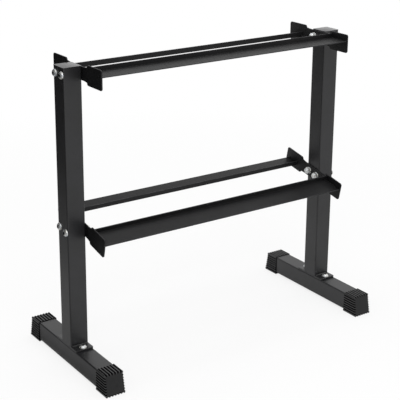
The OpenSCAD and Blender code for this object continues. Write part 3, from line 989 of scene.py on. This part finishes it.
def makeFloor(look):
    # pale paint that keeps the shadow near the rack and becomes the background far off
    bm = bmesh.new()
    bmesh.ops.create_grid(bm, x_segments=8, y_segments=8, size=look["floorHalf"])
    floor = newPiece("StudioFloor", bm)
    material, tree, place = newPlainMaterial("paleStudioFloor")
    away = addNode(tree, "ShaderNodeVectorMath", [place], out="Value", operation="LENGTH")
    seen, mirrored = backgroundRays(tree)
    seenWhite, mirroredWhite = (
        addNode(tree, "ShaderNodeMapRange", [away, look["fadeFrom"], look["fadeTo"], near, 1.0])
        for near in (look["nearWhite"], look["nearGloss"]))
    seenWhite = addNode(tree, "ShaderNodeMath", [seenWhite, seen], operation="MULTIPLY")
    mirroredWhite = addNode(tree, "ShaderNodeMath", [mirroredWhite, mirrored],
                            operation="MULTIPLY")
    share = addNode(tree, "ShaderNodeMath", [seenWhite, mirroredWhite], operation="MAXIMUM")
    matt = addNode(tree, "ShaderNodeBsdfDiffuse", {"Color": look["floor"]})
    white = addNode(tree, "ShaderNodeEmission", {"Color": pureWhite, "Strength": 1.0})
    mix = addNode(tree, "ShaderNodeMixShader", [share, matt, white])
    addNode(tree, "ShaderNodeOutputMaterial", [mix], out=None)
    floor.data.materials.append(material)


reflectionSheetLook = {
    "outer": ((-1.55, -1.0), (-0.4, 1.3)),      # where the sheet stands up, from front to back
    "inner": ((-0.456, -0.9), (-0.456, 1.3)),   # where it ends on the floor beside the rack
    "strips": 10, "weaveMm": 60.0,
    # how far out on the floor, how high, and how bright the painted reflection glows there
    "profile": ((0.0, 0.0015, 0.12), (0.03, 0.0015, 0.39), (0.12, 0.0015, 0.57),
                (0.4, 0.0015, 0.6), (0.75, 0.0015, 0.51), (0.96, 0.0015, 0.4),
                (1.0, 0.03, 0.36), (1.0, 0.1, 0.3), (1.0, 0.2, 0.22), (1.0, 0.34, 0.09),
                (1.0, 0.46, 0.035), (1.0, 1.7, 0.02)),
}


def makeReflectionSheet(look):
    # a glowing sheet beside the set, seen only in the reflections of the coats: a painted
    # reflection of a dark side and a shaded floor, near black high up
    bm = bmesh.new()
    shade = bm.verts.layers.float.new("shade")
    rows = []
    for i in range(look["strips"] + 1):
        t = i / look["strips"]
        outer, inner = (Vector(look[key][0]).lerp(Vector(look[key][1]), t)
                        for key in ("outer", "inner"))
        row = []
        for out, z, bright in look["profile"]:
            spot = inner.lerp(outer, out)
            vert = bm.verts.new((spot.x, spot.y, z))
            vert[shade] = bright
            row.append(vert)
        rows.append(row)
    for first, second in zip(rows, rows[1:]):
        for i in range(len(first) - 1):
            bm.faces.new((first[i], first[i + 1], second[i + 1], second[i]))
    reflectionSheet = newPiece("StudioFlag", bm)
    material, tree, place = newPlainMaterial("shadedFlagCloth")
    bright = addNode(tree, "ShaderNodeAttribute", out="Fac", attribute_name="shade")
    reflectionMottle = addNode(tree, "ShaderNodeTexNoise", {
        "Vector": place, "Scale": perMm(look["weaveMm"]), "Detail": 2.0, "Roughness": 0.6})
    reflectionMottle = addNode(tree, "ShaderNodeMapRange", [reflectionMottle, 0.3, 0.7, 0.92, 1.08])
    strength = addNode(tree, "ShaderNodeMath", [bright, reflectionMottle], operation="MULTIPLY")
    glow = addNode(tree, "ShaderNodeEmission", {"Color": pureWhite, "Strength": strength})
    addNode(tree, "ShaderNodeOutputMaterial", [glow], out=None)
    reflectionSheet.data.materials.append(material)
    reflectionSheet.visible_camera = reflectionSheet.visible_diffuse = reflectionSheet.visible_shadow = False


def makeWorld(look):
    world = bpy.data.worlds.new("paleStudio")
    scene.world = world
    world.use_nodes = True
    tree = world.node_tree
    tree.nodes.clear()
    fill, white = (addNode(tree, "ShaderNodeBackground", {"Color": pureWhite, "Strength": strength})
                   for strength in (look["worldFill"], 1.0))
    seen, mirrored = backgroundRays(tree)
    share = addNode(tree, "ShaderNodeMath", [seen, mirrored], operation="MAXIMUM")
    mix = addNode(tree, "ShaderNodeMixShader", [share, fill, white])
    addNode(tree, "ShaderNodeOutputWorld", [mix], out=None)


def makeLamp(name, place, size, power, aim):
    data = bpy.data.lights.new(name, "AREA")
    data.shape = "SQUARE"
    data.size = size
    data.energy = power
    lamp = bpy.data.objects.new(name, data)
    lamp.location = place
    lamp.rotation_euler = (Vector(aim) - Vector(place)).to_track_quat("-Z", "Y").to_euler()
    scene.collection.objects.link(lamp)


makeFloor(studio)
makeReflectionSheet(reflectionSheetLook)
makeWorld(studio)
makeLamp("SoftKey", studio["keyPlace"], studio["keySize"], studio["keyPower"], studio["aim"])
makeLamp("SoftTop", studio["topPlace"], studio["topSize"], studio["topPower"], studio["aim"])
print("studio lit")


# camera

view = {"place": (-1.665, -2.356, 1.425), "yaw": 33.412, "pitch": -16.918, "lens": 98.46,
        "sensor": 36.0, "shiftX": 0.0705, "shiftY": -0.1437}

cameraData = bpy.data.cameras.new("RackCamera")
cameraData.lens = view["lens"]
cameraData.sensor_width = view["sensor"]
cameraData.shift_x = view["shiftX"]
cameraData.shift_y = view["shiftY"]
camera = bpy.data.objects.new("RackCamera", cameraData)
camera.location = view["place"]
camera.rotation_euler = (math.radians(90 + view["pitch"]), 0.0, math.radians(-view["yaw"]))
scene.collection.objects.link(camera)
scene.camera = camera
scene.view_settings.view_transform = "Standard"
print("camera set")
